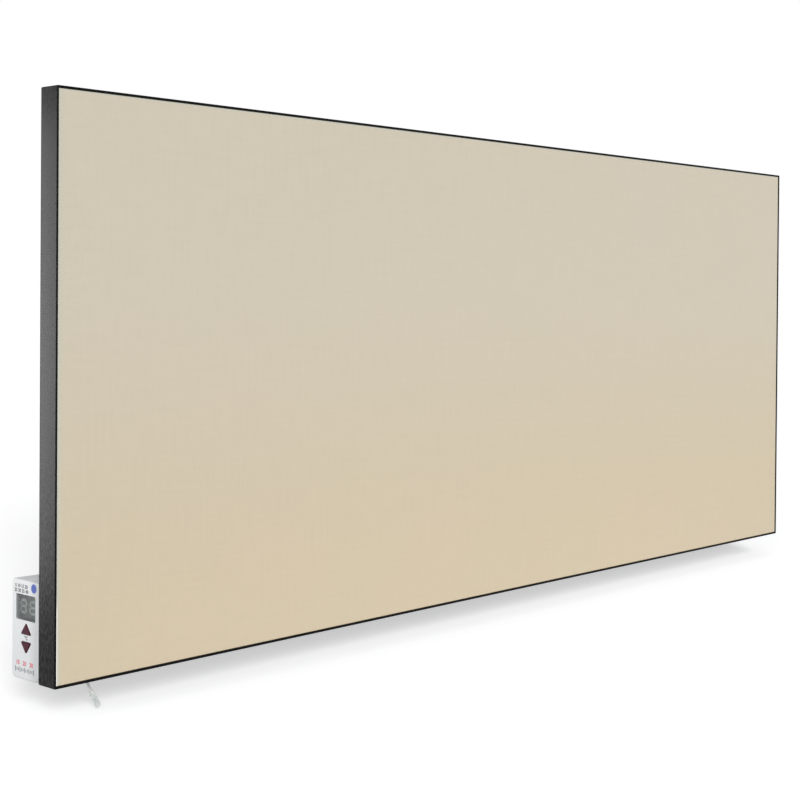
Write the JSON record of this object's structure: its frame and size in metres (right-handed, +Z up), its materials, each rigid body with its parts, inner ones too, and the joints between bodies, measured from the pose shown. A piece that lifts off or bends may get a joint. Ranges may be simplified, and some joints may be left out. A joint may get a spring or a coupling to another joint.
{
  "type": "wall panel heater",
  "caption": "Slim wide wall-hung electric heater: beige porcelain tile in a dark folded steel frame, with a digital control box and an air probe at its lower rear corner.",
  "frame": {"origin": "on the wall plane, midway between the two keyholes, at the height where the wall screws' shanks rest in the keyhole slots", "axes": "+X along the panel, to the right as seen from the front; +Y into the wall; +Z up"},
  "size_m": [1.2, 0.07, 0.5341],
  "materials": {
    "frame_coat": "matt wrinkle powder coat",
    "porcelain": "satin porcelain with a faint linen grain",
    "silicone": "matt",
    "heater_sheath": "satin",
    "foil": "bright rolled sheet",
    "insulation": "fibrous mineral board",
    "cover_coat": "matt wrinkle powder coat",
    "zinc_screw": "zinc plated",
    "zinc_sheet": "zinc plated sheet",
    "box_plastic": "fine satin moulding",
    "lug_metal": "tinned",
    "tinted_window": "grey tinted clear plastic",
    "display_plastic": "matt with diffusing segments",
    "circuit_laminate": "solder mask",
    "button_plastic": "satin",
    "plunger_plastic": "matt",
    "switch_can": "tin plated",
    "relay_plastic": "satin",
    "capacitor_plastic": "satin",
    "terminal_plastic": "satin",
    "gland_plastic": "satin nylon",
    "grommet_rubber": "matt",
    "lead_red": "satin",
    "lead_blue": "satin",
    "lead_earth": "satin",
    "probe_jacket": "milky jacket",
    "probe_clear": "clear heat-shrink tube",
    "probe_bead": "epoxy drop"
  },
  "bodies": {
    "heater": {"frame": "frame_coat", "ceramic_tile": "porcelain", "tile_bond_bead": "silicone", "heating_cable": "heater_sheath", "reflector_sheet": "foil", "insulation_board": "insulation", "rear_cover": "cover_coat", "cover_screw_1": "zinc_screw", "cover_screw_2": "zinc_screw", "cover_screw_3": "zinc_screw", "cover_screw_4": "zinc_screw", "cover_screw_5": "zinc_screw", "cover_screw_6": "zinc_screw", "cover_screw_7": "zinc_screw", "cover_screw_8": "zinc_screw", "hanger_left": "zinc_sheet", "hanger_right": "zinc_sheet", "standoff_left": "zinc_sheet", "standoff_right": "zinc_sheet", "bracket_screw_1": "zinc_screw", "bracket_screw_2": "zinc_screw", "bracket_screw_3": "zinc_screw", "bracket_screw_4": "zinc_screw", "bracket_screw_5": "zinc_screw", "bracket_screw_6": "zinc_screw", "bracket_screw_7": "zinc_screw", "bracket_screw_8": "zinc_screw", "control_cover": "box_plastic", "control_base": "box_plastic", "box_screw_1": "zinc_screw", "box_screw_2": "zinc_screw", "mount_screw_1": "zinc_screw", "mount_screw_2": "zinc_screw", "earth_lug": "lug_metal", "display_window": "tinted_window", "display_module": "display_plastic", "circuit_board": "circuit_laminate", "tact_switch_up": "switch_can", "tact_switch_down": "switch_can", "relay": "relay_plastic", "supply_capacitor": "capacitor_plastic", "control_terminal": "terminal_plastic", "cable_gland": "gland_plastic", "gland_nut": "gland_plastic", "wire_grommet": "grommet_rubber", "splice_sleeve_1": "silicone", "splice_sleeve_2": "silicone", "thermal_cutout": "lug_metal", "heater_lead_live": "lead_red", "heater_lead_neutral": "lead_blue", "earth_lead": "lead_earth", "sensor_lead": "probe_jacket", "sensor_sleeve": "probe_clear", "sensor_bead": "probe_bead", "sensor_grommet": "grommet_rubber"},
    "up_button": {"button_up": "button_plastic", "switch_plunger_up": "plunger_plastic"},
    "down_button": {"button_down": "button_plastic", "switch_plunger_down": "plunger_plastic"}
  },
  "joints": [
    {"name": "up_button_press", "type": "slide", "parent": "heater", "child": "up_button", "axis": [1, 0, 0], "range_m": [0, 0.0005], "stiffness_N_per_m": 1200},
    {"name": "down_button_press", "type": "slide", "parent": "heater", "child": "down_button", "axis": [1, 0, 0], "range_m": [0, 0.0005], "stiffness_N_per_m": 1200}
  ]
}
